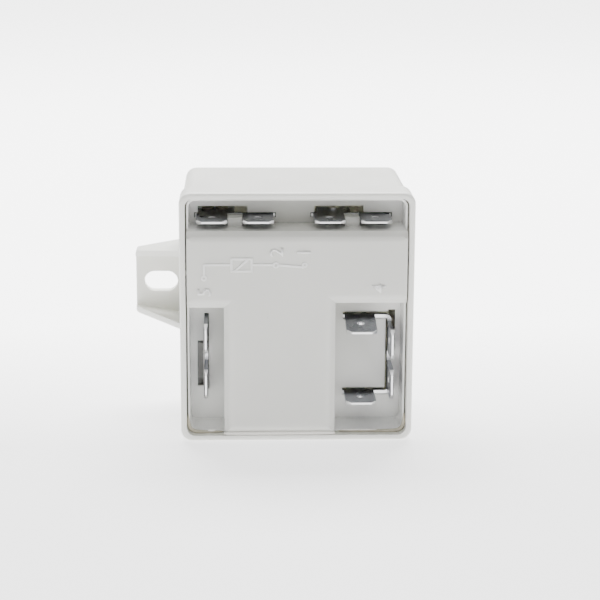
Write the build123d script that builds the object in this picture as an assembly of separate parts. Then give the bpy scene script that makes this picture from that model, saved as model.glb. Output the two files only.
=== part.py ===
from build123d import *
from math import radians, sin
import os

# Compressor start relay in a moulded case, in millimetres.
# X runs to the right, Y to the back and Z up. The terminals point forward, along -Y.
# The origin is the centre of the flat back of the case.

# Case
case_depth = 36.4
rim_width = 47.9
rim_height = 52.2
rim_length = 8.5
rim_wall = 1.2
rim_corner = 2.4
rim_edge = 0.7
body_step = 0.5
body_wall = 1.5
back_edge = 0.8

# Mounting ear on the left of the case
ear_reach = 11.2
ear_rise = 0.75
ear_tip_height = 13.9
ear_root_height = 17.9
ear_plate = 2.5
ear_wall = 1.3
ear_tip_depth = 4.4
ear_root_depth = 14.5
ear_corner = 0.8
ear_slot_length = 7.4
ear_slot_width = 4.5
ear_slot_from_body = 5.7
ear_slot_rise = 0.35

# Terminal header
header_gap = 0.3
header_floor = 1.8
recess_depth = 10.2
plateau_proud = 0.3
plateau_wall = 1.6
plateau_below_row = 1.1
plateau_chamfer = 1.4
side_round = 0.3
edge_wall = 0.35
edge_set_back = 2.0
column_left = -14.95
column_right = 7.9
left_recess_from_top = 23.9
right_recess_from_top = 23.0
seal_depth = 1.4

# Sheet terminals with push-on tabs
sheet = 0.8
tab_length = 8.0
tab_width = 6.35
tab_hole = 1.7
tab_hole_from_tip = 4.1
tab_corner = 1.1
tab_corner_slant = 0.9
tab_bevel_length = 0.6
tab_bevel_depth = 0.2
slot_clearance = 0.15
row_slot_gap = 0.27
seat_set_back = 0.5
seat_depth = 1.3
row_from_top = 6.9

# Terminal 2 (left) and terminal 1 (right) in the top row
terminal_2_left = -20.95
terminal_1_left = 3.2
tab_inset = 0.4
rib_width = 3.0
rib_clearance = 0.075
rib_reach = 3.8
rib_below_sheet_top = 0.15
window_height = 1.65
window_inset = 0.2
window_width = 10.3

# Terminal 5, one upright sheet with two tabs
terminal_5_left = -19.15
terminal_5_from_recess_top = 3.9
terminal_5_from_bottom = 6.8
slot_5_end_gap = 0.5
pocket_width = 1.2
pocket_height = 9.9
pocket_gap = 0.25
pocket_rise = 0.75
pocket_depth = 1.2

# Terminal 4, one sheet folded twice into a bracket with four tabs
bracket_left = 10.0
bracket_right = 20.3
bracket_from_recess_top = 4.85
bracket_from_bottom = 5.4
bracket_bend = 1.2
bracket_tab_inset = 0.4
bracket_tab_tilt = 10.5
bracket_slot_above = 0.8
bracket_slot_below = 0.2
bracket_slot_beside = 0.45
upper_upright_from_top = 1.4
lower_upright_from_fold = 1.1
bracket_tail_inset = 1.0
bracket_hook = 2.4
bracket_hook_width = 4.0
corner_window_rise = 1.2
corner_window_height = 4.4
corner_window_right = 21.05

# Magnet: yoke, core, bobbin and winding
coil_x = -3.6
yoke_sheet = 1.8
yoke_side_step = 0.1
yoke_from_back = 3.4
yoke_floor_from_bottom = 11.0
yoke_bend = 1.0
yoke_foot_height = 7.9
yoke_foot_gap = 1.7
pole_below_row = 12.0
bobbin_gap = 0.2
bobbin_flange = 1.0
bobbin_tube_wall = 0.8
core_share = 0.38
core_clearance = 0.05
core_neck_step = 0.7
core_head_step = 0.1
core_head = 0.7
pole_share = 1.5
pole_thickness = 1.0
shading_width = 1.0
shading_step = 0.2
shading_depth = 0.7
winding_step = 0.8
tape_thickness = 0.25
tape_margin = 1.6

# Armature, card and return spring
armature_travel = 2.2
armature_thickness = 1.6
armature_side_step = 0.5
armature_gap = 0.1
armature_past_pole = 1.0
armature_corner = 1.5
arm_width = 6.0
arm_past_blade = 2.3
lug_width = 1.8
lug_height = 2.2
lug_inset = 1.6
notch_clearance = 0.25
heel_width = 4.0
heel_thickness = 0.8
heel_reach = 2.1
eye_radius = 0.4
wire_radius = 0.15
loop_radius = 0.75
spring_radius = 0.85
spring_turns = 10
anchor_above_floor = 8.1
card_thickness = 1.4
card_fit = 0.05
card_behind_blade = 3.1
card_foot = 2.0
card_side = 0.8
card_head = 1.2
card_corner = 0.4
card_gap = 0.3
card_gap_ahead = 0.6
card_gap_below = 0.9

# Contacts
blade_thickness = 0.3
blade_width = 4.0
blade_behind_floor = 4.1
blade_root_inset = 0.55
blade_bend_inset = 0.15
blade_past_contact = 2.2
blade_corner = 1.2
spacer_set_back = 0.6
contact_radius = 1.6
contact_thickness = 0.5
contact_shank = 0.7
contact_stake = 0.35
rivet_shank = 0.7
rivet_head = 1.3
rivet_pitch = 3.0
rivets_set_back = 0.4
tail_2_width = 7.8
tail_2_past_blade = 4.4
tail_1_inset = 1.3
tail_1_width = 7.0
tail_1_past_blade = 2.4
tail_5_height = 6.0
tail_5_past_floor = 5.2

# Screws into bosses on the header, and the coil's leads
boss_radius = 2.0
boss_share = 9 / 14
boss_from_bottom = 5.9
screw_radius = 0.95
screw_clearance = 0.05
screw_foot_clearance = 0.15
screw_length = 7.0
screw_tip_gap = 0.5
screw_head_radius = 1.9
screw_head = 1.2
screw_head_edge = 0.4
screw_cross = 0.5
screw_cross_span = 2.4
screw_cross_depth = 0.6
lead_radius = 0.22
lead_hole = 0.45
lead_bend = 1.2
lead_straight = 3.0
start_lead_from_end = 1.6
finish_lead_from_end = 1.1

# Sizes that follow from those above
front = -case_depth
rim_back = front + rim_length
body_width = rim_width - 2 * body_step
body_height = rim_height - 2 * body_step
cavity_width = body_width - 2 * body_wall
cavity_height = body_height - 2 * body_wall
mouth_width = rim_width - 2 * rim_wall
mouth_height = rim_height - 2 * rim_wall
mouth_corner = rim_corner - rim_wall / 2
header_width = mouth_width - 2 * header_gap
header_height = mouth_height - 2 * header_gap
header_corner = mouth_corner - header_gap / 2
floor_front = front + recess_depth
floor_back = floor_front + header_floor
plateau_front = front - plateau_proud
edge_front = front + edge_set_back
header_half = header_width / 2
header_bottom = -header_height / 2
row_height = rim_height / 2 - row_from_top
row_top = row_height + sheet
row_width = 2 * (tab_inset + tab_width + rib_clearance) + rib_width
plateau_top = row_height - plateau_below_row
left_recess_top = rim_height / 2 - left_recess_from_top
right_recess_top = rim_height / 2 - right_recess_from_top
seat_front = floor_front + seat_set_back
seat_back = floor_front + seat_depth
terminal_5_top = left_recess_top - terminal_5_from_recess_top
terminal_5_bottom = header_bottom + terminal_5_from_bottom
terminal_5_middle = (terminal_5_top + terminal_5_bottom) / 2
bracket_top = right_recess_top - bracket_from_recess_top
fold_bottom = header_bottom + bracket_from_bottom
boss_height = boss_from_bottom - rim_height / 2
yoke_back = -body_wall - yoke_from_back
yoke_inner = yoke_back - yoke_sheet
yoke_floor_top = yoke_floor_from_bottom - rim_height / 2
bobbin_radius = (yoke_inner - bobbin_gap - floor_back - yoke_foot_gap) / 2
winding_radius = bobbin_radius - winding_step
core_radius = core_share * bobbin_radius
core_neck_radius = core_radius - core_neck_step
core_head_radius = core_radius + core_head_step
bobbin_tube_radius = core_radius + bobbin_tube_wall
pole_radius = pole_share * core_radius
shading_outer = core_radius + shading_step
shading_inner = shading_outer - shading_width
coil_y = yoke_inner - bobbin_gap - bobbin_radius
yoke_width = 2 * (winding_radius - yoke_side_step)
lug_spacing = yoke_width - lug_width - 2 * lug_inset
boss_spacing = boss_share * yoke_width
pole_top = row_height - pole_below_row
pole_bottom = pole_top - pole_thickness
armature_bottom = pole_top + armature_gap
armature_width = yoke_width - 2 * armature_side_step
anchor_height = yoke_floor_top + anchor_above_floor
hinge_y = yoke_back - yoke_sheet / 2
tail_2_left = terminal_2_left + tab_inset
tail_1_left = terminal_1_left + tail_1_inset
contact_x = tail_1_left + tail_1_width / 2
blade_middle = floor_back + blade_behind_floor
blade_root = tail_2_left + blade_root_inset
blade_bend = tail_2_left + tail_2_width - blade_bend_inset
blade_tip = contact_x + blade_past_contact
blade_top = row_height - 2 * contact_thickness
blade_bottom = blade_top - blade_thickness
card_back = blade_middle + card_behind_blade
card_lift = (hinge_y - blade_middle) * sin(radians(armature_travel))
tail_2_end = blade_middle + tail_2_past_blade
tail_1_end = blade_middle + tail_1_past_blade
tail_5_end = floor_back + tail_5_past_floor


def prism(outline, back, front_face):
    """An outline in X and Z, extruded forward from one Y to another."""
    return extrude(Plane.XZ.offset(-back) * outline, amount=back - front_face, dir=(0, -1, 0))


def block(x, y, z):
    """A box between pairs of limits."""
    size = (x[1] - x[0], y[1] - y[0], z[1] - z[0])
    middle = ((x[0] + x[1]) / 2, (y[0] + y[1]) / 2, (z[0] + z[1]) / 2)
    return Pos(*middle) * Box(*size)


def rod(x, y, z, radius):
    """An upright rod between two heights."""
    return Pos(x, y, (z[0] + z[1]) / 2) * Cylinder(radius, z[1] - z[0])


def edges_at_y(shape, y):
    """The edges that lie in the plane at one Y."""
    near = 0.001
    return shape.edges().filter_by_position(Axis.Y, y - near, y + near)


def make_ear():
    """Slotted ear at the back, with a gusset wall along its top and bottom."""
    root = -body_width / 2 + body_wall / 2
    side = -body_width / 2
    tip = side - ear_reach
    taper = (ear_root_height - ear_tip_height) / ear_reach
    root_half = ear_root_height / 2 + taper * (root - side) / 2
    tip_half = ear_tip_height / 2
    face = Polygon((tip, -tip_half), (root, -root_half), (root, root_half), (tip, tip_half), align=None)
    blank = prism(Pos(0, ear_rise) * face, 0, -ear_root_depth)
    blank = fillet(blank.edges().filter_by(Axis.Y).sort_by(Axis.X)[:2], ear_corner)
    slope = Polygon(
        (tip, 0),
        (root, 0),
        (root, -ear_root_depth),
        (side, -ear_root_depth),
        (tip, -ear_tip_depth),
        align=None,
    )
    blank &= extrude(slope, amount=ear_root_height, both=True)
    inner = Polygon(
        (tip, ear_wall - tip_half),
        (root, ear_wall - root_half),
        (root, root_half - ear_wall),
        (tip, tip_half - ear_wall),
        align=None,
    )
    blank -= prism(Pos(0, ear_rise) * inner, -ear_plate, -ear_root_depth)
    slot = Pos(side - ear_slot_from_body, ear_slot_rise) * SlotOverall(ear_slot_length, ear_slot_width)
    return blank - prism(slot, 0, -ear_plate)


def make_case():
    """One-piece case: closed box, flared mouth and mounting ear."""
    body = prism(RectangleRounded(body_width, body_height, rim_corner), 0, rim_back)
    body = fillet(edges_at_y(body, 0), back_edge)
    rim = prism(RectangleRounded(rim_width, rim_height, rim_corner), rim_back, front)
    rim = fillet(edges_at_y(rim, front), rim_edge)
    shell = body + rim + make_ear()
    cavity = RectangleRounded(cavity_width, cavity_height, rim_corner - body_wall / 2)
    mouth = RectangleRounded(mouth_width, mouth_height, mouth_corner)
    return shell - prism(cavity, -body_wall, floor_back) - prism(mouth, floor_back, front)


def plateau_outline(inset, bottom):
    """The raised T of the header, drawn in by an inset on every side."""
    left = -header_half + inset
    right = header_half - inset
    return Polygon(
        (left, left_recess_top + inset),
        (column_left + inset, left_recess_top + inset),
        (column_left + inset, bottom),
        (column_right - inset, bottom),
        (column_right - inset, right_recess_top + inset),
        (right, right_recess_top + inset),
        (right, plateau_top - inset),
        (left, plateau_top - inset),
        align=None,
    )


def make_plateau():
    """The raised T, bevelled towards the recesses and rounded at its two ends."""
    raised = prism(plateau_outline(0, header_bottom), floor_front, plateau_front)
    rim_edges = edges_at_y(raised, plateau_front)
    ends = rim_edges.filter_by(Axis.Z).group_by(Axis.X)
    bevelled = [e for e in rim_edges if e not in ends[0] and e not in ends[-1]]
    raised = chamfer(bevelled, plateau_chamfer)
    ends = edges_at_y(raised, plateau_front).filter_by(Axis.Z).group_by(Axis.X)
    return fillet(ends[0] + ends[-1], side_round)


def make_ribs():
    """Two ribs that stand between the tabs of the top row."""
    y = (floor_front - rib_reach, floor_front)
    z = (plateau_top, row_top - rib_below_sheet_top)
    ribs = []
    for left in (terminal_2_left, terminal_1_left):
        middle = left + row_width / 2
        ribs.append(block((middle - rib_width / 2, middle + rib_width / 2), y, z))
    return ribs


def sheet_slots():
    """Shallow seats for the sheets in the header's floor, and the holes that their tails pass."""
    seat = (floor_front, seat_back)
    through = (floor_front, floor_back)
    c = slot_clearance
    row = (row_height, row_top + row_slot_gap)
    tail_5_low = terminal_5_middle - tail_5_height / 2
    upright_5 = (terminal_5_left, terminal_5_left + sheet + c)
    return [
        block((terminal_2_left - c, terminal_2_left + row_width + c), seat, row),
        block((tail_2_left - c, tail_2_left + tail_2_width + c), through, row),
        block((terminal_1_left - c, terminal_1_left + row_width + c), seat, row),
        block((tail_1_left - c, tail_1_left + tail_1_width + c), through, row),
        block(upright_5, seat, (terminal_5_bottom, terminal_5_top + slot_5_end_gap)),
        block(upright_5, through, (tail_5_low - c, tail_5_low + tail_5_height + c)),
    ]


def windows():
    """Two windows over the top row, a blind pocket by terminal 5 and a window at the bracket's bend."""
    through = (floor_front, floor_back)
    window_z = (row_top, row_top + window_height)
    left_2 = terminal_2_left + tab_inset + window_inset
    left_1 = terminal_1_left + tab_inset + window_inset
    pocket_right = terminal_5_left - pocket_gap
    pocket_low = terminal_5_bottom + pocket_rise
    pocket_x = (pocket_right - pocket_width, pocket_right)
    pocket_z = (pocket_low, pocket_low + pocket_height)
    corner_top = bracket_top + corner_window_rise
    corner_z = (corner_top - corner_window_height, corner_top)
    return [
        block((left_2, left_2 + window_width), through, window_z),
        block((left_1, left_1 + window_width), through, window_z),
        block(pocket_x, (floor_front, floor_front + pocket_depth), pocket_z),
        block((bracket_right - sheet, corner_window_right), through, corner_z),
    ]


def bracket_slots():
    """Room for the bracket in the header's floor: above its legs, inside its web and under its bent tab."""
    through = (floor_front, floor_back)
    level = (bracket_left, bracket_right - sheet)
    web = (bracket_right - sheet - bracket_slot_beside, bracket_right - sheet)
    bent_left = bracket_left + bracket_tab_inset - slot_clearance
    bent_tab = (bent_left, bent_left + tab_width + 2 * slot_clearance)
    leg_bottom = bracket_top - sheet
    return [
        block(level, through, (bracket_top, bracket_top + bracket_slot_above)),
        block(level, through, (fold_bottom + sheet, fold_bottom + sheet + bracket_slot_above)),
        block(web, through, (fold_bottom + sheet, leg_bottom)),
        block(bent_tab, (floor_front, seat_back), (leg_bottom - bracket_slot_below, leg_bottom)),
    ]


def bracket_channel(back, front_face):
    """The folded bracket's strip, a channel with rounded bends that is open to the left."""
    y = (front_face, back)
    solid = block((bracket_left, bracket_right), y, (fold_bottom, bracket_top))
    bends = solid.edges().filter_by(Axis.Y).group_by(Axis.X)[-1]
    solid = fillet(bends, bracket_bend)
    hollow = block((bracket_left, bracket_right - sheet), y, (fold_bottom + sheet, bracket_top - sheet))
    bends = hollow.edges().filter_by(Axis.Y).group_by(Axis.X)[-1]
    return solid - fillet(bends, bracket_bend - sheet)


def bosses():
    """Screw bosses inside the hollow of the column."""
    start = plateau_front + plateau_wall
    pair = []
    for side in (-1, 1):
        centre = Pos(coil_x + side * boss_spacing / 2, boss_height)
        pair.append(prism(centre * Circle(boss_radius), floor_back, start))
    return pair


def pilot_holes():
    """Holes in the bosses for the two screws, sized to their shanks."""
    bore = screw_radius + screw_clearance
    pair = []
    for side in (-1, 1):
        centre = Pos(coil_x + side * boss_spacing / 2, boss_height)
        pair.append(prism(centre * Circle(bore), floor_back, floor_back - screw_length))
    return pair


def make_header():
    """One-piece header: tray with a raised T, hollow behind, slotted for the terminals."""
    outer = RectangleRounded(header_width, header_height, header_corner)
    tray_hollow = RectangleRounded(
        header_width - 2 * edge_wall, header_height - 2 * edge_wall, header_corner - edge_wall / 2
    )
    tray = prism(outer, floor_back, edge_front) - prism(tray_hollow, floor_front, edge_front)
    raised = make_plateau() & prism(outer, floor_front, plateau_front)
    header = tray + raised
    for rib in make_ribs():
        header += rib
    hollow = plateau_outline(plateau_wall, header_bottom + plateau_wall)
    header -= prism(hollow, floor_back, plateau_front + plateau_wall)
    for boss in bosses():
        header += boss
    for hole in pilot_holes() + sheet_slots() + windows() + bracket_slots():
        header -= hole
    header -= bracket_channel(seat_back, floor_front)
    for tail in bracket_tails():
        header -= tail
    return header


def make_seal():
    """Band of sealant that fills the gap between header and case."""
    outer = RectangleRounded(mouth_width, mouth_height, mouth_corner)
    inner = RectangleRounded(header_width, header_height, header_corner)
    face = edge_front + seal_depth
    return prism(outer, floor_back, face) - prism(inner, floor_back, face)


def make_tab():
    """A push-on tab lying flat, its tip towards -Y and the top edge of its root centred on the origin."""
    half = tab_width / 2
    length = tab_length + seat_set_back
    slant = tab_corner_slant - length
    outline = Polygon(
        (-half, 0), (-half, slant), (tab_corner - half, -length),
        (half - tab_corner, -length), (half, slant), (half, 0),
        align=None,
    )
    side = Polygon(
        (0, -sheet), (tab_bevel_length - length, -sheet), (-length, tab_bevel_depth - sheet),
        (-length, -tab_bevel_depth), (tab_bevel_length - length, 0), (0, 0),
        align=None,
    )
    tab = extrude(outline, amount=sheet, dir=(0, 0, -1)) & extrude(Plane.YZ * side, amount=half, both=True)
    return tab - Pos(0, tab_hole_from_tip - length, -sheet / 2) * Cylinder(tab_hole / 2, 2 * sheet)


def level_tab(x, z, tilt=0):
    """A tab that lies level or is bent down by a tilt, its middle at x and its root's top edge at z."""
    return Pos(x, seat_front, z) * Rot(tilt, 0, 0) * make_tab()


def upright_tab(x, z):
    """A tab that stands on edge, with its left face at x and its middle at z."""
    return Pos(x, seat_front, z) * Rot(0, -90, 0) * make_tab()


def make_row_terminal(left, tail_left, tail_width, tail_end):
    """A level terminal of the top row: two tabs in front and one tail behind."""
    right = left + row_width
    strip = block((left, right), (seat_front, seat_back), (row_height, row_top))
    tail = block((tail_left, tail_left + tail_width), (seat_front, tail_end), (row_height, row_top))
    first = level_tab(left + tab_inset + tab_width / 2, row_top)
    second = level_tab(right - tab_inset - tab_width / 2, row_top)
    return strip + tail + first + second


def make_terminal_2():
    """Terminal 2 carries the contact blade and the coil's finish lead."""
    terminal = make_row_terminal(terminal_2_left, tail_2_left, tail_2_width, tail_2_end)
    for x in rivet_places():
        terminal -= rod(x, blade_middle, (row_height, row_top), rivet_shank)
    lead_x, lead_y = finish_lead_hole()
    return terminal - rod(lead_x, lead_y, (row_height, row_top), lead_hole)


def make_terminal_1():
    """Terminal 1 carries the fixed contact."""
    terminal = make_row_terminal(terminal_1_left, tail_1_left, tail_1_width, tail_1_end)
    return terminal - rod(contact_x, blade_middle, (row_height, row_top), contact_shank)


def make_terminal_5():
    """Terminal 5 stands on edge and takes the coil's start lead."""
    sides = (terminal_5_left, terminal_5_left + sheet)
    strip = block(sides, (seat_front, seat_back), (terminal_5_bottom, terminal_5_top))
    tail_z = (terminal_5_middle - tail_5_height / 2, terminal_5_middle + tail_5_height / 2)
    tail = block(sides, (seat_front, tail_5_end), tail_z)
    upper = upright_tab(terminal_5_left, terminal_5_top - tab_width / 2)
    lower = upright_tab(terminal_5_left, terminal_5_bottom + tab_width / 2)
    hole = Rot(0, 90, 0) * Cylinder(lead_hole, 4 * sheet)
    return strip + tail + upper + lower - Pos(terminal_5_left, *start_lead_hole()) * hole


def bracket_tails():
    """The bracket's two tails, which pass through the header's floor."""
    tail_left = bracket_left + bracket_tail_inset
    x = (tail_left, tail_left + bracket_hook_width)
    y = (seat_front, floor_back)
    return [
        block(x, y, (bracket_top - sheet, bracket_top)),
        block(x, y, (fold_bottom, fold_bottom + sheet)),
    ]


def bracket_hooks():
    """The ends of the two tails, folded flat against the back of the header."""
    tail_left = bracket_left + bracket_tail_inset
    x = (tail_left, tail_left + bracket_hook_width)
    y = (floor_back, floor_back + sheet)
    return [
        block(x, y, (bracket_top - sheet - bracket_hook, bracket_top)),
        block(x, y, (fold_bottom - bracket_hook, fold_bottom + sheet)),
    ]


def make_terminal_4():
    """Terminal 4, a folded bracket with two level and two upright tabs."""
    middle = bracket_left + bracket_tab_inset + tab_width / 2
    web_left = bracket_right - sheet
    bracket = bracket_channel(seat_back, seat_front)
    bracket += level_tab(middle, bracket_top, bracket_tab_tilt)
    bracket += level_tab(middle, fold_bottom + sheet)
    bracket += upright_tab(web_left, bracket_top - upper_upright_from_top - tab_width / 2)
    bracket += upright_tab(web_left, fold_bottom + lower_upright_from_fold + tab_width / 2)
    for tail in bracket_tails() + bracket_hooks():
        bracket += tail
    return bracket


def make_yoke():
    """Bent steel strip: foot on the header, floor under the coil, leg behind it."""
    low = yoke_floor_top - yoke_sheet
    profile = Polygon(
        (floor_back, low - yoke_foot_height + yoke_sheet),
        (floor_back + yoke_sheet, low - yoke_foot_height + yoke_sheet),
        (floor_back + yoke_sheet, low),
        (yoke_back, low),
        (yoke_back, pole_top),
        (yoke_inner, pole_top),
        (yoke_inner, yoke_floor_top),
        (floor_back, yoke_floor_top),
        align=None,
    )
    strip = extrude(Plane.YZ.offset(coil_x) * profile, amount=yoke_width / 2, both=True)
    outer_bends = edges_at_y(strip, yoke_back).filter_by(Axis.X).sort_by(Axis.Z)[:1]
    outer_bends += edges_at_y(strip, floor_back).filter_by(Axis.X).sort_by(Axis.Z)[-1:]
    strip = fillet(outer_bends, yoke_bend)
    for side in (-1, 1):
        x = coil_x + side * lug_spacing / 2
        z = (pole_top, pole_top + lug_height)
        strip += block((x - lug_width / 2, x + lug_width / 2), (yoke_inner, yoke_back), z)
        screw_x = coil_x + side * boss_spacing / 2
        hole = Pos(screw_x, boss_height) * Circle(screw_radius + screw_foot_clearance)
        strip -= prism(hole, floor_back + yoke_sheet, floor_back)
    anchor = block(
        (coil_x - heel_width / 2, coil_x + heel_width / 2),
        (yoke_back, yoke_back + heel_reach),
        (anchor_height - heel_thickness / 2, anchor_height + heel_thickness / 2),
    )
    eye = rod(coil_x, eye_y(), (anchor_height - heel_thickness, anchor_height + heel_thickness), eye_radius)
    strip += anchor - eye
    return strip - rod(coil_x, coil_y, (low, yoke_floor_top), core_neck_radius)


def eye_y():
    """Where the spring's loops pass through the heel and the anchor."""
    return yoke_back + heel_reach / 2


def make_core():
    """Steel core, staked into the yoke, with a grooved pole face."""
    low = yoke_floor_top - yoke_sheet
    core = rod(coil_x, coil_y, (yoke_floor_top, pole_bottom), core_radius)
    core += rod(coil_x, coil_y, (low, yoke_floor_top), core_neck_radius)
    core += rod(coil_x, coil_y, (low - core_head, low), core_head_radius)
    core += rod(coil_x, coil_y, (pole_bottom, pole_top), pole_radius)
    return core - shading_groove(core_clearance)


def shading_groove(clearance):
    """The ring-shaped space in the pole face, or the ring that fills it."""
    z = (pole_top - shading_depth, pole_top)
    ring = rod(coil_x, coil_y, z, shading_outer + clearance)
    return ring - rod(coil_x, coil_y, z, shading_inner - clearance)


def make_bobbin():
    """Moulded bobbin: a tube between two flanges."""
    bobbin = rod(coil_x, coil_y, (yoke_floor_top, pole_bottom), bobbin_tube_radius)
    bobbin += rod(coil_x, coil_y, (yoke_floor_top, yoke_floor_top + bobbin_flange), bobbin_radius)
    bobbin += rod(coil_x, coil_y, (pole_bottom - bobbin_flange, pole_bottom), bobbin_radius)
    return bobbin - rod(coil_x, coil_y, (yoke_floor_top, pole_bottom), core_radius + core_clearance)


def wound_heights():
    """The heights between the flanges, where the wire lies."""
    return (yoke_floor_top + bobbin_flange, pole_bottom - bobbin_flange)


def make_winding():
    """The coil of enamelled wire as one solid ring."""
    z = wound_heights()
    return rod(coil_x, coil_y, z, winding_radius) - rod(coil_x, coil_y, z, bobbin_tube_radius)


def make_tape():
    """Tape wound over the middle of the coil."""
    low, high = wound_heights()
    z = (low + tape_margin, high - tape_margin)
    return rod(coil_x, coil_y, z, winding_radius + tape_thickness) - rod(coil_x, coil_y, z, winding_radius)


def open_armature(piece):
    """Swing a piece from the pulled-in position up to its place at rest."""
    hinge = Axis((coil_x, hinge_y, armature_bottom), (1, 0, 0))
    return piece.rotate(hinge, -armature_travel)


def make_armature():
    """Hinged plate, notched over the yoke's lugs, with an arm for the card and a heel for the spring."""
    z = (armature_bottom, armature_bottom + armature_thickness)
    plate_front = coil_y - pole_radius - armature_past_pole
    plate = block((coil_x - armature_width / 2, coil_x + armature_width / 2), (plate_front, yoke_back), z)
    plate = fillet(plate.edges().filter_by(Axis.Z).group_by(Axis.Y)[0], armature_corner)
    arm_y = (blade_middle - arm_past_blade, plate_front)
    plate += block((coil_x - arm_width / 2, coil_x + arm_width / 2), arm_y, z)
    heel_z = (armature_bottom, armature_bottom + heel_thickness)
    heel_x = (coil_x - heel_width / 2, coil_x + heel_width / 2)
    plate += block(heel_x, (yoke_back, yoke_back + heel_reach), heel_z)
    plate -= rod(coil_x, eye_y(), z, eye_radius)
    half = lug_width / 2 + notch_clearance
    for side in (-1, 1):
        x = coil_x + side * lug_spacing / 2
        plate -= block((x - half, x + half), (yoke_inner - notch_clearance, yoke_back), z)
    return open_armature(plate - card_foot_block(card_fit))


def card_foot_block(grow):
    """The card's foot, which sits in a slot of the armature's arm."""
    x = (coil_x - card_thickness / 2 - grow, coil_x + card_thickness / 2 + grow)
    y = (blade_middle - card_foot / 2 - grow, blade_middle + card_foot / 2 + grow)
    return block(x, y, (armature_bottom, armature_bottom + armature_thickness))


def make_card():
    """Insulating card on the armature, with a window round the contact blade."""
    x = (coil_x - card_thickness / 2, coil_x + card_thickness / 2)
    sill = armature_bottom + armature_thickness
    window_top = blade_top + card_gap - card_lift
    window_front = blade_middle - blade_width / 2 - card_gap_ahead
    window_back = blade_middle + blade_width / 2 + card_gap
    card = block(x, (window_front - card_side, card_back), (sill, window_top + card_head))
    outer = card.edges().filter_by(Axis.X).group_by(Axis.Z)[-1]
    card = fillet(outer, card_corner)
    window_sill = window_top - blade_thickness - card_gap_below
    card -= block(x, (window_front, window_back), (window_sill, window_top))
    return open_armature(card + card_foot_block(0))


def make_return_spring():
    """Tension spring from the yoke's anchor to the armature's heel."""
    loop_y = eye_y() + loop_radius
    lift = (loop_y - hinge_y) * sin(radians(armature_travel))
    high_loop = armature_bottom + heel_thickness / 2 - lift
    stem = loop_radius + wire_radius
    coil_length = high_loop - anchor_height - 2 * stem
    path = Helix(coil_length / spring_turns, coil_length, spring_radius)
    section = Plane(path @ 0, z_dir=path % 0) * Circle(wire_radius)
    spring = Pos(0, 0, stem) * sweep(section, path, is_frenet=True)
    for loop_z, turn_z in ((0, stem), (coil_length + 2 * stem, coil_length + stem)):
        spring += Pos(0, 0, turn_z) * Torus(spring_radius, wire_radius)
        spring += Pos(0, 0, turn_z) * Rot(90, 0, 0) * Cylinder(wire_radius, 2 * spring_radius)
        spring += Pos(0, 0, loop_z) * Rot(0, 90, 0) * Torus(loop_radius, wire_radius)
    return Pos(coil_x, loop_y, anchor_height) * spring


def rivet_places():
    """The X positions of the two rivets that clamp the blade's root."""
    middle = (blade_root + blade_bend) / 2 - rivets_set_back
    return (middle - rivet_pitch / 2, middle + rivet_pitch / 2)


def make_blade():
    """Flat spring blade from terminal 2 to the moving contact."""
    half = blade_width / 2
    y = (blade_middle - half, blade_middle + half)
    blade = block((blade_root, blade_tip), y, (blade_bottom, blade_top))
    blade = fillet(blade.edges().filter_by(Axis.Z).group_by(Axis.X)[-1], blade_corner)
    for x in rivet_places():
        blade -= rod(x, blade_middle, (blade_bottom, blade_top), rivet_shank)
    return blade - rod(contact_x, blade_middle, (blade_bottom, blade_top), contact_shank)


def make_spacer():
    """Brass block between the tail of terminal 2 and the blade."""
    half = blade_width / 2
    y = (blade_middle - half, blade_middle + half)
    spacer = block((blade_root, blade_bend - spacer_set_back), y, (blade_top, row_height))
    for x in rivet_places():
        spacer -= rod(x, blade_middle, (blade_top, row_height), rivet_shank)
    return spacer


def make_blade_rivets():
    """Two rivets through terminal 2, the spacer and the blade."""
    rivets = []
    for x in rivet_places():
        rivet = rod(x, blade_middle, (blade_bottom, row_top), rivet_shank)
        rivet += rod(x, blade_middle, (blade_bottom - contact_stake, blade_bottom), rivet_head)
        rivet += rod(x, blade_middle, (row_top, row_top + contact_stake), rivet_head)
        rivets.append(rivet)
    return Compound(children=rivets)


def make_fixed_contact():
    """Contact rivet in the tail of terminal 1, facing down."""
    contact = rod(contact_x, blade_middle, (row_height, row_top), contact_shank)
    contact += rod(contact_x, blade_middle, (row_height - contact_thickness, row_height), contact_radius)
    return contact + rod(contact_x, blade_middle, (row_top, row_top + contact_stake), rivet_head)


def make_moving_contact():
    """Contact rivet at the tip of the blade, facing up."""
    contact = rod(contact_x, blade_middle, (blade_bottom, blade_top), contact_shank)
    contact += rod(contact_x, blade_middle, (blade_top, blade_top + contact_thickness), contact_radius)
    return contact + rod(contact_x, blade_middle, (blade_bottom - contact_stake, blade_bottom), rivet_head)


def make_screw(side):
    """Pan-head screw that holds the yoke's foot on a boss of the header."""
    seat = floor_back + yoke_sheet
    centre = Pos(coil_x + side * boss_spacing / 2, boss_height)
    shank = prism(centre * Circle(screw_radius), seat, floor_back - screw_length + screw_tip_gap)
    head = prism(centre * Circle(screw_head_radius), seat + screw_head, seat)
    head = fillet(edges_at_y(head, seat + screw_head), screw_head_edge)
    cross = centre * (Rectangle(screw_cross_span, screw_cross) + Rectangle(screw_cross, screw_cross_span))
    return shank + head - prism(cross, seat + screw_head, seat + screw_head - screw_cross_depth)


def start_lead_hole():
    """Y and Z of the hole in terminal 5 that takes the start lead."""
    return (tail_5_end - start_lead_from_end, terminal_5_middle)


def finish_lead_hole():
    """X and Y of the hole in terminal 2 that takes the finish lead."""
    return (tail_2_left + tail_2_width / 2, tail_2_end - finish_lead_from_end)


def lead_exit(towards_x, towards_y, z, distance):
    """A point straight out from the coil's axis, on the way to a terminal."""
    aim = Vector(towards_x - coil_x, towards_y - coil_y, 0).normalized()
    return Vector(coil_x, coil_y, z) + aim * distance


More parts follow.
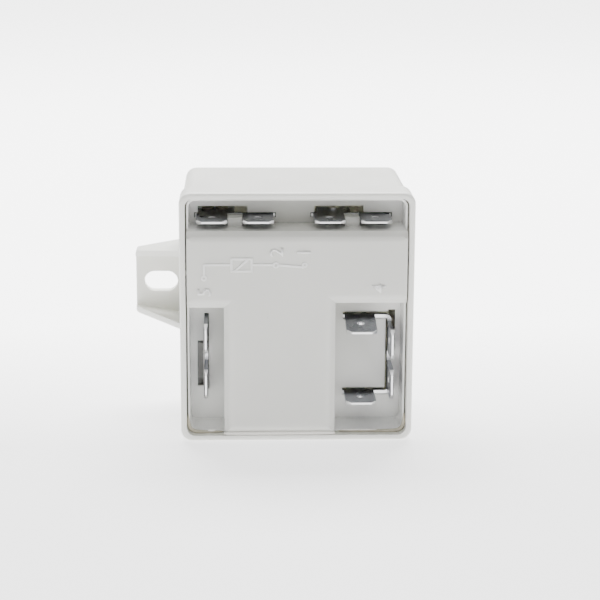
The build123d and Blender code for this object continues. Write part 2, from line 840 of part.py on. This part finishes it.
def make_lead(points):
    """A wire along straight runs joined by bends."""
    path = FilletPolyline(*points, radius=lead_bend)
    section = Plane(path @ 0, z_dir=path % 0) * Circle(lead_radius)
    return sweep(section, path)


def make_start_lead():
    """Lead from the bottom of the coil to terminal 5."""
    hole_y, hole_z = start_lead_hole()
    z = wound_heights()[0] + tape_margin / 2
    near = lead_exit(terminal_5_left, hole_y, z, winding_radius)
    out = lead_exit(terminal_5_left, hole_y, z, winding_radius + lead_straight)
    bend = Vector(terminal_5_left + lead_straight, hole_y, hole_z)
    end = Vector(terminal_5_left - 2 * sheet, hole_y, hole_z)
    return make_lead([near, out, bend, end])


def make_finish_lead():
    """Lead from the top of the coil to terminal 2."""
    hole_x, hole_y = finish_lead_hole()
    z = wound_heights()[1] - tape_margin / 2
    near = lead_exit(hole_x, hole_y, z, winding_radius)
    out = lead_exit(hole_x, hole_y, z, winding_radius + lead_straight)
    bend = Vector(hole_x, hole_y, z + lead_straight)
    end = Vector(hole_x, hole_y, row_top + sheet)
    return make_lead([near, out, bend, end])


parts = {
    "case": make_case(),
    "header": make_header(),
    "seal": make_seal(),
    "terminal_1": make_terminal_1(),
    "terminal_2": make_terminal_2(),
    "terminal_4": make_terminal_4(),
    "terminal_5": make_terminal_5(),
    "yoke": make_yoke(),
    "core": make_core(),
    "shading_ring": shading_groove(0),
    "bobbin": make_bobbin(),
    "winding": make_winding(),
    "coil_tape": make_tape(),
    "start_lead": make_start_lead(),
    "finish_lead": make_finish_lead(),
    "armature": make_armature(),
    "card": make_card(),
    "return_spring": make_return_spring(),
    "contact_blade": make_blade(),
    "blade_spacer": make_spacer(),
    "blade_rivets": make_blade_rivets(),
    "fixed_contact": make_fixed_contact(),
    "moving_contact": make_moving_contact(),
    "yoke_screw_left": make_screw(-1),
    "yoke_screw_right": make_screw(1),
}

os.makedirs("parts", exist_ok=True)
for name, part in parts.items():
    export_step(part, f"parts/{name}.step")
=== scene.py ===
import bmesh
import bpy
from math import cos, pi, radians, sin
from mathutils import Matrix, Vector


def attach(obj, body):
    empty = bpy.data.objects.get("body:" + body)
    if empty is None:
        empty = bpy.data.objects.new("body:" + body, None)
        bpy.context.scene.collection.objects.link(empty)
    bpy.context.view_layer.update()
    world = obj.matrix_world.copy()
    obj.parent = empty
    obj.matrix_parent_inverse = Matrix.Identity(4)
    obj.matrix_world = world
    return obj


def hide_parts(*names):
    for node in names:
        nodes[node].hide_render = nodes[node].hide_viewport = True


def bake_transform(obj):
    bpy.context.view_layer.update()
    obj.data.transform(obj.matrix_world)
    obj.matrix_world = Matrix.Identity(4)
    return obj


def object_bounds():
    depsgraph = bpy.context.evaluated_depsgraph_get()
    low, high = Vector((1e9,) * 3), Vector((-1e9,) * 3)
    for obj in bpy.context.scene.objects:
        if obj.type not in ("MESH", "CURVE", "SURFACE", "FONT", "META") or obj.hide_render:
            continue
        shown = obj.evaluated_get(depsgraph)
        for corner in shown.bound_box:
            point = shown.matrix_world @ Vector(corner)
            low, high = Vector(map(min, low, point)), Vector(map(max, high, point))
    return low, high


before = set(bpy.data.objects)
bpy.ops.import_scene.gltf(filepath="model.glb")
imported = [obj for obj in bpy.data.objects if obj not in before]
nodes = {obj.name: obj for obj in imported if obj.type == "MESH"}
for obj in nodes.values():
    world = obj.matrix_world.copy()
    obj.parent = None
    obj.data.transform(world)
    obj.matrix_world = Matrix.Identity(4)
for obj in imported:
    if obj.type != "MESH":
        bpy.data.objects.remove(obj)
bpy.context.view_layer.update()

# Camera: stands in front of the terminals, a little to the left and above, and looks slightly down.
# The picture is 600 by 600 pixels. The focal length and the aim's place in the picture are in pixels.
picture = 600
focal_pixels = 1718.2
sensor = 0.036
azimuth = radians(-2.113)
elevation = radians(13.517)
roll = radians(0.284)
distance = 0.35123
aim = Vector((0, -0.0364, 0))
aim_right = -2.93
aim_down = 19.09
back = Vector((sin(azimuth) * cos(elevation), -cos(azimuth) * cos(elevation), sin(elevation)))
level_right = Vector((cos(azimuth), sin(azimuth), 0))
right = Matrix.Rotation(roll, 3, back) @ level_right
up = back.cross(right)
metres_per_pixel = distance / focal_pixels
camera_data = bpy.data.cameras.new("camera")
camera_data.sensor_width = sensor * 1000
camera_data.lens = sensor * 1000 * focal_pixels / picture
camera_data.clip_start = 0.01
camera_data.clip_end = 20
camera = bpy.data.objects.new("camera", camera_data)
bpy.context.scene.collection.objects.link(camera)
camera.location = (aim + back * distance - right * aim_right * metres_per_pixel
                   + up * aim_down * metres_per_pixel)
camera.rotation_euler = Matrix((right, up, back)).transposed().to_euler()
bpy.context.scene.camera = camera


# Floor and light: a glowing white table top, with a strong soft light above and behind the relay, so that
# its top is bright and its front is lit mostly by the table, by a wide reflector in front and by a weak one
# beside it. The table glows less in front of the relay than behind it.
def own_object(name, bm):
    """A new object at the origin from a finished bmesh."""
    mesh = bpy.data.meshes.new(name)
    bm.to_mesh(mesh)
    bm.free()
    made = bpy.data.objects.new(name, mesh)
    bpy.context.scene.collection.objects.link(made)
    return made


def node_material(name):
    """A new material, with its node tree and its shader."""
    material = bpy.data.materials.new(name)
    material.use_nodes = True
    return material, material.node_tree, material.node_tree.nodes["Principled BSDF"]


def object_place(tree):
    """The three coordinates of a point, in metres."""
    place = tree.nodes.new("ShaderNodeSeparateXYZ")
    tree.links.new(tree.nodes.new("ShaderNodeTexCoord").outputs["Object"], place.inputs[0])
    return place.outputs


def share_between(tree, value, start, end):
    """A share that goes from 0 to 1 as a value goes from start to end."""
    share = tree.nodes.new("ShaderNodeMapRange")
    share.inputs["From Min"].default_value = start
    share.inputs["From Max"].default_value = end
    tree.links.new(value, share.inputs["Value"])
    return share.outputs["Result"]


floor_half = 3.0
floor_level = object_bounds()[0].z
floor_bm = bmesh.new()
bmesh.ops.create_grid(floor_bm, x_segments=2, y_segments=2, size=floor_half)
bmesh.ops.translate(floor_bm, verts=floor_bm.verts, vec=(0, 0, floor_level))
table_top = own_object("table_top", floor_bm)
table_paint, table_tree, table_shader = node_material("table_paint")
table_shader.inputs["Base Color"].default_value = (0.5, 0.5, 0.5, 1)
table_shader.inputs["Roughness"].default_value = 1.0
table_shader.inputs["Specular IOR Level"].default_value = 0.0
glow_reach = 0.25
glow_stops = ((-0.25, 0.3), (-0.12, 0.45), (-0.04, 0.45), (0.06, 1))
table_depth = share_between(table_tree, object_place(table_tree)["Y"], -glow_reach, glow_reach)
table_glow = table_tree.nodes.new("ShaderNodeValToRGB")
while len(table_glow.color_ramp.elements) < len(glow_stops):
    table_glow.color_ramp.elements.new(0.5)
for stop, (depth, glow) in zip(table_glow.color_ramp.elements, glow_stops):
    stop.position = (depth + glow_reach) / (2 * glow_reach)
    stop.color = (glow, glow, glow, 1)
table_tree.links.new(table_depth, table_glow.inputs["Fac"])
table_tree.links.new(table_glow.outputs["Color"], table_shader.inputs["Emission Color"])
table_shader.inputs["Emission Strength"].default_value = 4.6
table_top.data.materials.append(table_paint)

world = bpy.data.worlds.new("studio")
bpy.context.scene.world = world
world.use_nodes = True
world.node_tree.nodes["Background"].inputs["Color"].default_value = (1, 1, 1, 1)
world.node_tree.nodes["Background"].inputs["Strength"].default_value = 0.19
light_target = Vector((0, -0.036, 0))
for name, place, width, height, watts in (
    ("front_card", (0, -1.0, 0.06), 1.0, 0.3, 0.9),
    ("back_softbox", (0, 0.45, 0.75), 0.7, 0.4, 31.0),
    ("high_softbox", (0, -0.62, 0.6), 0.7, 0.4, 2.2),
    ("side_card", (0.75, -0.6, 0.1), 0.5, 0.3, 0.4),
):
    light_data = bpy.data.lights.new(name, "AREA")
    light_data.energy = watts
    light_data.shape = "RECTANGLE"
    light_data.size = width
    light_data.size_y = height
    light = bpy.data.objects.new(name, light_data)
    bpy.context.scene.collection.objects.link(light)
    light.location = place
    light.rotation_euler = (Vector(place) - light_target).to_track_quat("Z", "Y").to_euler()


# Case: one moulding in pale polyester, with a flared mouth, a slotted ear and softly rounded corners.
# Its skin has the fine grain of a spark-eroded mould, and a faint cloudiness where the melt flowed.
def noise(tree, scale, detail):
    """A noise pattern that stays with the piece."""
    pattern = tree.nodes.new("ShaderNodeTexNoise")
    pattern.inputs["Scale"].default_value = scale
    pattern.inputs["Detail"].default_value = detail
    tree.links.new(tree.nodes.new("ShaderNodeTexCoord").outputs["Object"], pattern.inputs["Vector"])
    return pattern.outputs["Fac"]


def two_tone(tree, value, first, second, low=0.0, high=1.0):
    """A colour that goes from the first to the second as a value goes from low to high."""
    ramp = tree.nodes.new("ShaderNodeValToRGB")
    for stop, position, colour in zip(ramp.color_ramp.elements, (low, high), (first, second)):
        stop.position = position
        stop.color = (*colour, 1)
    tree.links.new(value, ramp.inputs["Fac"])
    return ramp.outputs["Color"]


def uneven_gloss(tree, shader, value, roughness, spread):
    """Roughness that varies with a pattern."""
    gloss = tree.nodes.new("ShaderNodeMapRange")
    gloss.inputs["To Min"].default_value = max(0, roughness - spread)
    gloss.inputs["To Max"].default_value = roughness + spread
    tree.links.new(value, gloss.inputs["Value"])
    tree.links.new(gloss.outputs["Result"], shader.inputs["Roughness"])


def uneven_skin(tree, shader, value, strength, depth):
    """Fine relief from a pattern, as deep as depth in millimetres."""
    skin = tree.nodes.new("ShaderNodeBump")
    skin.inputs["Strength"].default_value = strength
    skin.inputs["Distance"].default_value = depth / 1000
    tree.links.new(value, skin.inputs["Height"])
    tree.links.new(skin.outputs["Normal"], shader.inputs["Normal"])


def moulded_plastic(name, tint, shade, roughness):
    """Pale moulded plastic: fine grain, slow clouding of colour and gloss, and a few specks of dust."""
    material, tree, shader = node_material(name)
    cloud = noise(tree, scale=90, detail=5)
    colours = two_tone(tree, cloud, shade, tint, low=0.35, high=0.65)
    dust = tree.nodes.new("ShaderNodeTexVoronoi")
    dust.inputs["Scale"].default_value = 420
    tree.links.new(tree.nodes.new("ShaderNodeTexCoord").outputs["Object"], dust.inputs["Vector"])
    specks = two_tone(tree, dust.outputs["Distance"], (0.8, 0.78, 0.74), (1, 1, 1), low=0.03, high=0.06)
    dusted = tree.nodes.new("ShaderNodeMix")
    dusted.data_type = "RGBA"
    dusted.blend_type = "MULTIPLY"
    dusted.inputs[0].default_value = 0.5
    tree.links.new(colours, dusted.inputs[6])
    tree.links.new(specks, dusted.inputs[7])
    tree.links.new(dusted.outputs[2], shader.inputs["Base Color"])
    uneven_gloss(tree, shader, cloud, roughness, spread=0.06)
    uneven_skin(tree, shader, noise(tree, scale=5200, detail=3), strength=0.35, depth=0.02)
    shader.inputs["Specular IOR Level"].default_value = 0.5
    shader.inputs["Subsurface Weight"].default_value = 0.35
    shader.inputs["Subsurface Radius"].default_value = (1.0, 1.0, 1.0)
    shader.inputs["Subsurface Scale"].default_value = 0.0017
    return material


same_point = 1e-6
same_face_angle = radians(0.2)
sharp_angle = radians(28)
shaded_angle = radians(40)


def merged_copy(node):
    """A node's own shape as a bmesh of whole faces."""
    bm = bmesh.new()
    bm.from_mesh(nodes[node].data)
    bmesh.ops.remove_doubles(bm, verts=bm.verts, dist=same_point)
    bmesh.ops.dissolve_limit(bm, angle_limit=same_face_angle, verts=bm.verts, edges=bm.edges)
    return bm


def box_corners(points):
    """The lowest and the highest corner of some points."""
    return [Vector([pick(point[i] for point in points) for i in range(3)]) for pick in (min, max)]


def eased(bm, node, name, ease):
    """A copy of a node with its sharp edges eased, shown in the node's place and kept in the node's box."""
    sharp = [e for e in bm.edges if len(e.link_faces) == 2 and e.calc_face_angle() > sharp_angle]
    bmesh.ops.bevel(bm, geom=sharp, offset=ease, offset_type="OFFSET", affect="EDGES", segments=2,
                    profile=0.5, material=-1, clamp_overlap=True)
    low, high = box_corners([tuple(corner) for corner in nodes[node].bound_box])
    for v in bm.verts:
        v.co = [min(max(v.co[i], low[i]), high[i]) for i in range(3)]
    made = own_object(name, bm)
    made.data.shade_smooth()
    made.data.set_sharp_from_angle(angle=shaded_angle)
    weigh = made.modifiers.new("even_shading", "WEIGHTED_NORMAL")
    weigh.keep_sharp = True
    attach(made, "relay")
    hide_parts(node)
    return made


case_ease = 0.00012
case_plastic = moulded_plastic("case_plastic", (0.8, 0.8, 0.755), (0.78, 0.78, 0.735), 0.42)
case_shell = eased(merged_copy("case"), "case", "case_shell", case_ease)
case_shell.data.materials.append(case_plastic)


# Header: the terminal tray that closes the case's mouth, moulded in the same polyester as a separate piece.
# It has a raised T between the recesses, and slots and windows for the sheet terminals. The lower parts and
# outer sides of its recesses are painted lighter, as painted light. Its inner side, behind the recess floors,
# with the walls of the pocket, slots and windows, is painted near black, as painted shade in the closed case.
def tinted(tree, share, under, colour):
    """A colour that covers another by a share."""
    cover = tree.nodes.new("ShaderNodeMix")
    cover.data_type = "RGBA"
    cover.inputs[7].default_value = (*colour, 1)
    tree.links.new(share, cover.inputs[0])
    tree.links.new(under, cover.inputs[6])
    return cover.outputs[2]


def combined(tree, operation, *values):
    """One value from one or two others."""
    result = tree.nodes.new("ShaderNodeMath")
    result.operation = operation
    for value, socket in zip(values, result.inputs):
        tree.links.new(value, socket)
    return result.outputs[0]


level_slack = 5e-5


def at_level(vertices, axis, level):
    """Whether all of some vertices lie at one level."""
    return all(abs(v.co[axis] - level) < level_slack for v in vertices)


def slice_faces(bm, faces, point, across):
    """Cut some faces along a plane."""
    parts = [v for f in faces for v in f.verts] + [e for f in faces for e in f.edges] + faces
    bmesh.ops.bisect_plane(bm, geom=list(dict.fromkeys(parts)), plane_co=point, plane_no=across)


header_plastic = moulded_plastic("header_plastic", (0.67, 0.67, 0.635), (0.65, 0.65, 0.615), 0.45)
header_tree = header_plastic.node_tree
header_colour = header_tree.nodes["Principled BSDF"].inputs["Base Color"]
header_place = object_place(header_tree)
# Painted light: behind the T's face, the recess floors and walls are painted lighter towards the bottom and
# the outer sides.
low_down = share_between(header_tree, header_place["Z"], -0.004, -0.023)
sideways = combined(header_tree, "ABSOLUTE", header_place["X"])
at_side = share_between(header_tree, sideways, 0.013, 0.021)
behind_face = share_between(header_tree, header_place["Y"], -0.036, -0.034)
painted_light_share = combined(header_tree, "MAXIMUM", low_down, at_side)
painted_light_share = combined(header_tree, "MULTIPLY", painted_light_share, behind_face)
# Painted shade: everything behind the recess floors, including the pocket and the walls of slots and windows,
# is painted near black.
painted_shade_inside = share_between(header_tree, header_place["Y"], -0.0261, -0.0246)
painted_light_colour = tinted(header_tree, painted_light_share, header_colour.links[0].from_socket, (0.96, 0.96, 0.93))
header_tree.links.new(tinted(header_tree, painted_shade_inside, painted_light_colour, (0.085, 0.083, 0.08)), header_colour)

header_bm = merged_copy("header")

# The pocket beside terminal 5 is deeper at its two ends.
pocket_floor = -0.025
pocket_deep = -0.0245
pocket_ends = (-0.0154, -0.008)
for level in pocket_ends:
    pocket = [f for f in header_bm.faces if at_level(f.verts, 1, pocket_floor)]
    slice_faces(header_bm, pocket, (0, 0, level), (0, 0, 1))
ends = [f for f in header_bm.faces if at_level(f.verts, 1, pocket_floor)
        and not pocket_ends[0] < f.calc_center_median().z < pocket_ends[1]]
sunk = bmesh.ops.extrude_face_region(header_bm, geom=ends)["geom"]
bmesh.ops.translate(header_bm, verts=[g for g in sunk if isinstance(g, bmesh.types.BMVert)],
                    vec=(0, pocket_deep - pocket_floor, 0))

# The recesses have rounded inner corners at the bottom.
recess_floor = -0.0262
recess_bottom = -0.02425
corner_round = 0.003
corners = [e for e in header_bm.edges
           if at_level(e.verts, 1, recess_floor) and at_level(e.verts, 2, recess_bottom)]
bmesh.ops.bevel(header_bm, geom=corners, offset=corner_round, offset_type="OFFSET", affect="EDGES",
                segments=4, profile=0.5, material=-1, clamp_overlap=True)

# The T's long front edges are rounded up to its ends.
face_front = -0.0367
face_round = 0.0008
round_end = 0.0216
shortest_edge = 0.003
least_angle = radians(20)
for side in (-1, 1):
    near = [f for f in header_bm.faces if any(v.co.y < face_front + level_slack for v in f.verts)]
    slice_faces(header_bm, near, (side * round_end, 0, 0), (1, 0, 0))
face_edges = [e for e in header_bm.edges
              if at_level(e.verts, 1, face_front) and e.calc_length() > shortest_edge
              and len(e.link_faces) == 2 and e.calc_face_angle() > least_angle]
bmesh.ops.bevel(header_bm, geom=face_edges, offset=face_round, offset_type="OFFSET", affect="EDGES",
                segments=4, profile=0.5, material=-1, clamp_overlap=False)

# The T's face is set back by the height of the relief on it. Nothing behind step_back moves.
face_back = -0.03654
step_back = -0.0362
for v in header_bm.verts:
    if v.co.y < step_back:
        v.co.y = step_back + (v.co.y - step_back) * (face_back - step_back) / (face_front - step_back)
header_ease = 0.0001
header_tray = eased(header_bm, "header", "header_tray", header_ease)
header_tray.data.materials.append(header_plastic)


# Diagram and numbers: low relief on the T's face, moulded with the header in the same plastic. The circuit
# is a coil between 5 and 2 and a contact between 2 and 1. The relief is coloured far lighter than the header,
# as painted light for the light that its edges catch.
# Painted light: the relief's colour is much lighter than the header's, for the light on its edges.
relief_painted_light = moulded_plastic("relief_painted_light", (0.97, 0.97, 0.95), (0.95, 0.95, 0.93), 0.4)
relief_root = 0.00003
relief_front = face_back - 0.0001
line_root = face_back + relief_root
line_width = 0.00046
upright = Matrix.Rotation(pi / 2, 3, "X")


def raised(name, bm, ease=0.00006):
    """Low relief from an outline that is drawn flat at the face, with its front edges eased."""
    pushed = bmesh.ops.extrude_face_region(bm, geom=bm.faces[:])["geom"]
    bmesh.ops.translate(bm, verts=[g for g in pushed if isinstance(g, bmesh.types.BMVert)],
                        vec=(0, face_front - face_back - relief_root, 0))
    bmesh.ops.recalc_face_normals(bm, faces=bm.faces)
    tops = [f for f in bm.faces if f.calc_center_median().y < relief_front]
    if sum(f.normal.y * f.calc_area() for f in tops) > 0:
        bmesh.ops.reverse_faces(bm, faces=bm.faces[:])
    rims = [e for e in bm.edges if len(e.link_faces) == 2 and e.calc_face_angle() > sharp_angle
            and all(v.co.y < relief_front for v in e.verts)]
    if ease:
        bmesh.ops.bevel(bm, geom=rims, offset=ease, offset_type="OFFSET", affect="EDGES", segments=1,
                        profile=0.5, material=-1, clamp_overlap=True)
    for v in bm.verts:
        v.co.y = max(v.co.y, face_front)
    made = own_object(name, bm)
    made.data.materials.append(relief_painted_light)
    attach(made, "relay")


# Both ends of each line, as x and z in millimetres.
diagram_lines = (
    ((-18.92, 9.2), (-18.92, 11.6)), ((-18.92, 11.42), (-13.6, 11.42)),
    ((-13.36, 12.8), (-13.36, 9.9)), ((-9.24, 12.8), (-9.24, 9.9)),
    ((-13.54, 12.62), (-9.05, 12.62)), ((-13.54, 10.08), (-9.05, 10.08)),
    ((-12.7, 10.1), (-9.9, 12.6)), ((-9.1, 11.41), (-4.9, 11.4)), ((-3.75, 11.36), (1.3, 10.88)),
)
for number, ((x0, z0), (x1, z1)) in enumerate(diagram_lines, 1):
    run = Vector((x1 - x0, 0, z1 - z0)) / 1000
    line_bm = bmesh.new()
    bmesh.ops.create_grid(line_bm, x_segments=1, y_segments=1, size=0.5)
    bmesh.ops.scale(line_bm, vec=(run.length, line_width, 1), verts=line_bm.verts)
    turn = Matrix((run.normalized(), Vector((-run.z, 0, run.x)).normalized(), Vector((0, -1, 0))))
    bmesh.ops.rotate(line_bm, cent=(0, 0, 0), matrix=turn.transposed(), verts=line_bm.verts)
    bmesh.ops.translate(line_bm, vec=((x0 + x1) / 2000, line_root, (z0 + z1) / 2000), verts=line_bm.verts)
    raised("diagram_line_" + str(number), line_bm)

# The middle of each ring, as x and z, and its outer radius, in millimetres.
diagram_rings = ((-18.92, 8.64, 0.62), (-4.33, 11.35, 0.68), (1.5, 11.35, 0.6))
for number, (x, z, outer) in enumerate(diagram_rings, 1):
    ring_bm = bmesh.new()
    bmesh.ops.create_circle(ring_bm, cap_ends=True, segments=28, radius=outer / 1000)
    bmesh.ops.inset_region(ring_bm, faces=ring_bm.faces[:], thickness=line_width * 0.9, use_boundary=True,
                           use_even_offset=True)
    middle = min(ring_bm.faces, key=lambda f: f.calc_center_median().length)
    bmesh.ops.delete(ring_bm, geom=[middle], context="FACES")
    bmesh.ops.rotate(ring_bm, cent=(0, 0, 0), matrix=upright, verts=ring_bm.verts)
    bmesh.ops.translate(ring_bm, vec=(x / 1000, line_root, z / 1000), verts=ring_bm.verts)
    raised("diagram_ring_" + str(number), ring_bm)

# Each terminal's number, and the place of its middle as x and z in millimetres. They lie on their sides.
number_size = 0.0039
stroke_swell = 0.00004
for digit, x, z in (("5", -18.9, 5.75), ("2", -4.25, 14.0), ("1", 1.3, 13.95), ("4", 16.66, 6.43)):
    writing = bpy.data.curves.new("number_" + digit, "FONT")
    writing.body = digit
    writing.size = number_size
    writing.align_x = "CENTER"
    writing.align_y = "CENTER"
    writing.resolution_u = 3
    writing.offset = stroke_swell
    sample = bpy.data.objects.new("number_" + digit, writing)
    bpy.context.scene.collection.objects.link(sample)
    flat = bpy.data.meshes.new_from_object(sample)
    bpy.data.objects.remove(sample)
    digit_bm = bmesh.new()
    digit_bm.from_mesh(flat)
    bpy.data.meshes.remove(flat)
    bmesh.ops.remove_doubles(digit_bm, verts=digit_bm.verts, dist=same_point)
    low, high = box_corners([v.co for v in digit_bm.verts])
    bmesh.ops.translate(digit_bm, vec=-(low + high) / 2, verts=digit_bm.verts)
    bmesh.ops.rotate(digit_bm, cent=(0, 0, 0), matrix=upright @ Matrix.Rotation(pi / 2, 3, "Z"),
                     verts=digit_bm.verts)
    bmesh.ops.translate(digit_bm, vec=(x / 1000, line_root, z / 1000), verts=digit_bm.verts)
    raised("number_" + digit, digit_bm, ease=0)


# Sealant: an amber compound, poured into the gap between the header and the case, where it sets. It has
# drawn into round beads in the lower corners, and a line and a few drops of it lie beside the T. Deep in the
# gap it is painted near black, as painted shade; the line and the drops are painted near white, as painted
# highlights, and a small pale nib at the left gap has the same near-white finish.
def plain_material(name, colour, roughness, metallic=0.0, scale=400, spread=0.12, bump=0.02):
    """One finish with a little variation of colour, gloss and surface."""
    material, tree, shader = node_material(name)
    shader.inputs["Metallic"].default_value = metallic
    cloud = noise(tree, scale, detail=6)
    colours = two_tone(tree, cloud, [c * (1 - spread) for c in colour],
                       [min(1, c * (1 + spread)) for c in colour])
    tree.links.new(colours, shader.inputs["Base Color"])
    uneven_gloss(tree, shader, cloud, roughness, spread=0.1)
    uneven_skin(tree, shader, cloud, strength=0.4, depth=bump)
    return material


def dress(node, material):
    """Give a node its finish."""
    nodes[node].data.materials.clear()
    nodes[node].data.materials.append(material)


def bead(name, route, y, finish):
    """A bead of sealant along a route of (x, z, radius) in millimetres, at one depth."""
    bm = bmesh.new()
    rings = []
    for n, (x, z, radius) in enumerate(route):
        (x0, z0, _), (x1, z1, _) = route[max(n - 1, 0)], route[min(n + 1, len(route) - 1)]
        run = Vector((x1 - x0, 0, z1 - z0)).normalized()
        ring = bmesh.ops.create_circle(bm, cap_ends=n in (0, len(route) - 1), segments=10,
                                       radius=radius / 1000)["verts"]
        turn = Matrix((Vector((run.z, 0, -run.x)), Vector((0, 1, 0)), run)).transposed()
        bmesh.ops.rotate(bm, cent=(0, 0, 0), matrix=turn, verts=ring)
        bmesh.ops.translate(bm, vec=(x / 1000, y / 1000, z / 1000), verts=ring)
        rings.append(ring)
    for pair in zip(rings, rings[1:]):
        edges = [e for ring in pair for e in dict.fromkeys(e for v in ring for e in v.link_edges)
                 if all(v in ring for v in e.verts)]
        bmesh.ops.bridge_loops(bm, edges=edges)
    bmesh.ops.recalc_face_normals(bm, faces=bm.faces)
    made = own_object(name, bm)
    made.data.shade_smooth()
    made.data.materials.append(finish)
    rounding = made.modifiers.new("rounding", "SUBSURF")
    rounding.levels = rounding.render_levels = 1
    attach(made, "relay")


def corner_route(side, end_x):
    """The gap's lower corner at one side, from partway up the side to the T's stem."""
    across, low, bend = 22.45, 24.6, 1.9
    past_bend = side * (across - 3.4)
    route = [(side * across, -20.6, 0.12), (side * across, -21.8, 0.26)]
    for step in range(5):
        turn = pi / 8 * step
        route.append((side * (across - bend + bend * cos(turn)), -(low - bend) - bend * sin(turn), 0.42))
    return route + [(past_bend, -low, 0.34), ((past_bend + end_x) / 2, -low, 0.22), (end_x, -low, 0.2)]


amber = plain_material("sealant_bead", (0.5, 0.46, 0.36), 0.14, scale=900, bump=0.02)
# Painted highlight: this near-white finish on the line under the T and on the drops stands in for their gloss
# highlights; the nib at the left has it too.
clear = plain_material("sealant_pale_and_painted_highlight", (0.9, 0.88, 0.83), 0.08, scale=900, spread=0.05, bump=0.01)
# Painted shade: the sealant in the gap is near black, for the shade deep in the gap.
dress("seal", plain_material("sealant", (0.14, 0.115, 0.085), 0.3))
for name, depth, finish, route in (
    ("left_bead", -34.45, amber, corner_route(-1, -15.1)),
    ("right_bead", -34.45, amber, corner_route(1, 8.1)),
    ("stem_bead", -35.8, clear, [(-15.15, -24.55, 0.3), (-14.5, -24.6, 0.42), (-3.5, -24.62, 0.45),
                                 (7.4, -24.6, 0.42), (8.1, -24.55, 0.3)]),
    ("left_nib", -34.6, clear, [(-22.8, 10.1, 0.08), (-22.78, 9.7, 0.26), (-22.75, 9.3, 0.3),
                                (-22.78, 8.9, 0.24), (-22.8, 8.5, 0.08)]),
    ("left_drop", -34.7, clear, [(-18.5, -24.3, 0.08), (-18.0, -24.24, 0.26), (-17.3, -24.24, 0.28),
                                 (-16.8, -24.3, 0.08)]),
    ("right_drop", -34.6, clear, [(9.2, -24.35, 0.06), (9.8, -24.3, 0.15), (13.0, -24.3, 0.17),
                                  (16.2, -24.3, 0.16), (16.9, -24.35, 0.06)]),
):
    bead(name, route, depth, finish)

# Terminals: four sheets, blanked and bent from tinned brass strip and pressed into slots of the header. Each
# tab has a bevelled tip and a detent hole. The flat faces are dull, and faces that turn to the front are
# painted near white, as painted highlight.
terminal_ease = 0.00008
tinned_sheet = plain_material("tinned_sheet", (0.26, 0.27, 0.305), 0.3, metallic=1.0, scale=160, spread=0.08,
                              bump=0.004)
sheet_tree = tinned_sheet.node_tree
sheet_colour = sheet_tree.nodes["Principled BSDF"].inputs["Base Color"]
facing = sheet_tree.nodes.new("ShaderNodeSeparateXYZ")
sheet_tree.links.new(sheet_tree.nodes.new("ShaderNodeNewGeometry").outputs["Normal"], facing.inputs[0])
# Painted highlight: faces turned to the front, such as the bevelled tips, are painted near white.
painted_highlight_share = share_between(sheet_tree, facing.outputs["Y"], -0.25, -0.65)
sheet_tree.links.new(tinted(sheet_tree, painted_highlight_share, sheet_colour.links[0].from_socket, (0.9, 0.9, 0.91)),
                     sheet_colour)
for terminal in ("terminal_1", "terminal_2", "terminal_4", "terminal_5"):
    tabs = eased(merged_copy(terminal), terminal, terminal + "_sheet", terminal_ease)
    tabs.data.materials.append(tinned_sheet)

# Works: the magnet with its coil, the armature with its card, and the contacts. They are steel, copper,
# nylon, brass and silver, screwed to the back of the header or riveted to terminals 1 and 2. Only a little
# of them shows, through the header's windows.
plated_steel = plain_material("plated_steel", (0.6, 0.61, 0.62), 0.35, metallic=1.0)
silver = plain_material("silver_contact", (0.85, 0.84, 0.82), 0.25, metallic=1.0)
brass = plain_material("brass", (0.3, 0.27, 0.23), 0.55, metallic=1.0)
magnet_wire = plain_material("magnet_wire", (0.45, 0.16, 0.06), 0.3)
inner_finishes = {
    "yoke": plated_steel, "core": plated_steel, "armature": plated_steel,
    "yoke_screw_left": plated_steel, "yoke_screw_right": plated_steel,
    "shading_ring": plain_material("copper", (0.75, 0.38, 0.22), 0.3, metallic=1.0),
    "bobbin": plain_material("bobbin_nylon", (0.78, 0.74, 0.62), 0.45),
    "winding": magnet_wire, "start_lead": magnet_wire, "finish_lead": magnet_wire,
    "coil_tape": plain_material("coil_tape", (0.55, 0.45, 0.26), 0.25),
    "card": plain_material("card_plastic", (0.05, 0.05, 0.05), 0.5),
    "blade_spacer": brass, "blade_rivets": brass, "fixed_contact": silver, "moving_contact": silver,
}
for node, finish in inner_finishes.items():
    dress(node, finish)


# Springs of the works: the contact blade is a bronze strip, clamped at its root and carried down by the
# contact at its tip, and the return spring is steel wire, hooked in the yoke's anchor and in the
# armature's heel.
def flexing(node, name, finish, start, end, cuts):
    """A spring's own shape, cut across its run from start to end, and shown instead of the node."""
    bm = merged_copy(node)
    run = Vector(end) - Vector(start)
    for n in range(cuts + 1):
        bmesh.ops.bisect_plane(bm, geom=bm.verts[:] + bm.edges[:] + bm.faces[:], plane_no=run,
                               plane_co=Vector(start) + run * n / cuts)
    made = own_object(name, bm)
    made.data.shade_smooth()
    made.data.set_sharp_from_angle(angle=shaded_angle)
    made.data.materials.append(finish)
    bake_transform(made)
    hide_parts(node)


bronze = plain_material("spring_bronze", (0.42, 0.35, 0.29), 0.35, metallic=1.0)
flexing("contact_blade", "blade_strip", bronze,
        start=(-0.0134, -0.0203, 0.01805), end=(-0.0055, -0.0203, 0.01805), cuts=10)
spring_wire = plain_material("spring_steel", (0.5, 0.5, 0.5), 0.3, metallic=1.0)
flexing("return_spring", "heel_spring", spring_wire,
        start=(-0.0036, -0.0031, -0.0062), end=(-0.0036, -0.0031, 0.0070), cuts=1)
